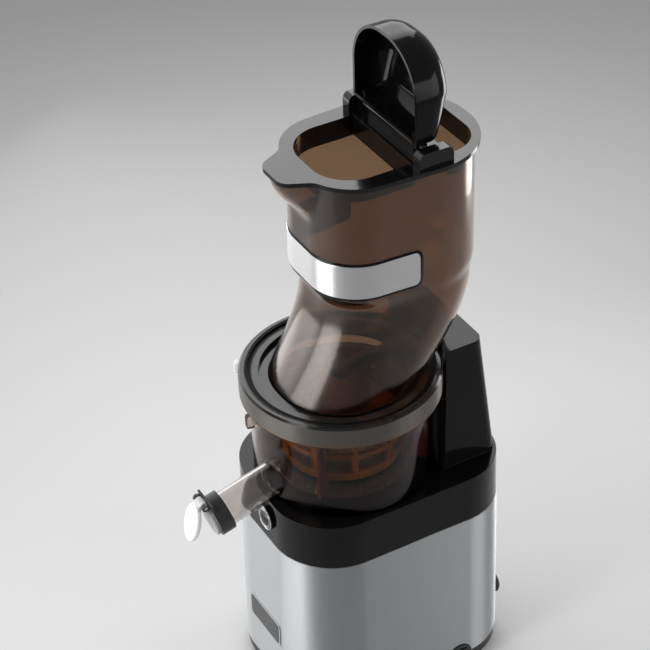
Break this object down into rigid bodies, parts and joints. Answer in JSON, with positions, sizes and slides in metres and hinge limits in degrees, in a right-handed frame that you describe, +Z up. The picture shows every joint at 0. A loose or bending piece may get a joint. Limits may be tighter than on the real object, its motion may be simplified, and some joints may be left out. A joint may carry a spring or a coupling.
{
  "type": "cold press juicer",
  "caption": "Upright cold press juicer: metal-sleeved base, clear bowl with strainer and screw, smoky feed chute with a hinged flap, juice spout cap and pulp spout.",
  "frame": {"origin": "centre of the bounding box's underside, on the surface it stands on", "axes": "+Z up along the drive axis, -Y to the front, where the juice spout is, +X to the right"},
  "size_m": [0.2278, 0.3, 0.63],
  "materials": {
    "satin_metal": "satin brushed",
    "gloss_black": "high gloss",
    "satin_black": "fine moulded grain",
    "black_rubber": "matte",
    "bright_metal": "polished",
    "badge_metal": "bare, finely meshed",
    "lens": "gloss",
    "bowl_clear": "clear, smoke tinted",
    "chute_clear": "clear, smoke tinted",
    "lid_clear": "clear, grey tinted",
    "amber": "gloss, amber",
    "brush_plastic": "gloss",
    "red_silicone": "soft matte",
    "pale_silicone": "soft matte",
    "white_plastic": "gloss",
    "steel": "turned",
    "gear_steel": "machined",
    "bronze": "turned",
    "copper_wire": "wound",
    "cast_metal": "as cast",
    "case_steel": "pressed",
    "inner_plastic": "moulded",
    "board": "lacquered"
  },
  "bodies": {
    "base": {"base_tray": "satin_black", "rubber_feet": "black_rubber", "tray_screws": "steel", "body_shell": "satin_metal", "badge_plate": "badge_metal", "top_cover": "gloss_black", "indicator_lens": "lens", "indicator_bezel": "bright_metal", "switch_housing": "satin_black", "cord_gland": "black_rubber", "control_board": "board", "run_capacitor": "inner_plastic", "lid_sensor": "inner_plastic", "gearbox_base": "cast_metal", "gearbox_cover": "cast_metal", "lower_bearing": "steel", "upper_bearing": "steel", "shaft_seal": "black_rubber", "layshaft_bushes": "bronze", "motor_case": "case_steel", "motor_stator": "gear_steel", "motor_windings": "copper_wire", "motor_bearings": "steel"},
    "rocker": {"rocker_switch": "satin_black"},
    "rotor": {"motor_rotor": "gear_steel", "motor_fan": "inner_plastic", "motor_pinion": "gear_steel"},
    "layshaft": {"layshaft_gears": "gear_steel"},
    "drive": {"drive_shaft": "steel", "output_gear": "gear_steel"},
    "bowl": {"juicing_bowl": "bowl_clear", "juice_spout": "bowl_clear", "pulp_spout": "bowl_clear", "hub_seal": "pale_silicone", "pulp_plug": "black_rubber", "strainer_frame": "amber", "strainer_screen": "steel", "cap_collar": "satin_black", "cap_seal": "pale_silicone", "cap_pin": "steel"},
    "screw": {"auger": "amber", "auger_crown": "amber", "auger_socket": "steel"},
    "idler": {"idler_gear": "brush_plastic"},
    "brush": {"brush_frame": "brush_plastic", "wiper_blades": "red_silicone"},
    "cap": {"cap_gate": "pale_silicone", "cap_lever": "white_plastic"},
    "lid": {"lid_ring": "lid_clear", "lid_gasket": "pale_silicone", "chute": "chute_clear", "chute_rim": "gloss_black", "chute_band": "bright_metal", "flap_pin": "steel", "lid_magnet": "gear_steel"},
    "flap": {"flap": "gloss_black"}
  },
  "joints": [
    {"name": "rocker_tilt", "type": "hinge", "parent": "base", "child": "rocker", "pos_m": [0.10923, 0.08083, 0.0145], "axis": [0, 1, 0], "range_deg": [-10, 10]},
    {"name": "motor_spin", "type": "hinge", "parent": "base", "child": "rotor", "pos_m": [0.02553, 0.08708, 0.1], "axis": [0, 0, 1], "continuous": true},
    {"name": "layshaft_spin", "type": "hinge", "parent": "base", "child": "layshaft", "pos_m": [0.02553, 0.05583, 0.13], "axis": [0, 0, 1], "continuous": true},
    {"name": "drive_spin", "type": "hinge", "parent": "base", "child": "drive", "pos_m": [0.02553, 0.01083, 0.13], "axis": [0, 0, 1], "continuous": true},
    {"name": "bowl_lift", "type": "slide", "parent": "base", "child": "bowl", "axis": [0, 0, 1], "range_m": [0, 0.13]},
    {"name": "screw_spin", "type": "hinge", "parent": "bowl", "child": "screw", "pos_m": [0.02553, 0.01083, 0.26], "axis": [0, 0, 1], "continuous": true},
    {"name": "idler_spin", "type": "hinge", "parent": "bowl", "child": "idler", "pos_m": [0.02553, 0.04983, 0.232], "axis": [0, 0, 1], "continuous": true},
    {"name": "brush_spin", "type": "hinge", "parent": "bowl", "child": "brush", "pos_m": [0.02553, 0.01083, 0.232], "axis": [0, 0, 1], "continuous": true},
    {"name": "cap_swing", "type": "hinge", "parent": "bowl", "child": "cap", "pos_m": [0.03753, -0.13417, 0.24401], "axis": [-1, 0, 0], "range_deg": [0, 70]},
    {"name": "lid_lift", "type": "slide", "parent": "bowl", "child": "lid", "axis": [0, 0, 1], "range_m": [0, 0.06]},
    {"name": "flap_close", "type": "hinge", "parent": "lid", "child": "flap", "pos_m": [0.02553, 0.06683, 0.545], "axis": [1, 0, 0], "range_deg": [0, 90]}
  ],
  "couplings": [
    {"joint": "layshaft_spin", "follows": "motor_spin", "ratio": -0.25},
    {"joint": "drive_spin", "follows": "motor_spin", "ratio": 0.0625},
    {"joint": "screw_spin", "follows": "motor_spin", "ratio": 0.0625},
    {"joint": "idler_spin", "follows": "motor_spin", "ratio": -0.1},
    {"joint": "brush_spin", "follows": "motor_spin", "ratio": -0.027778}
  ]
}
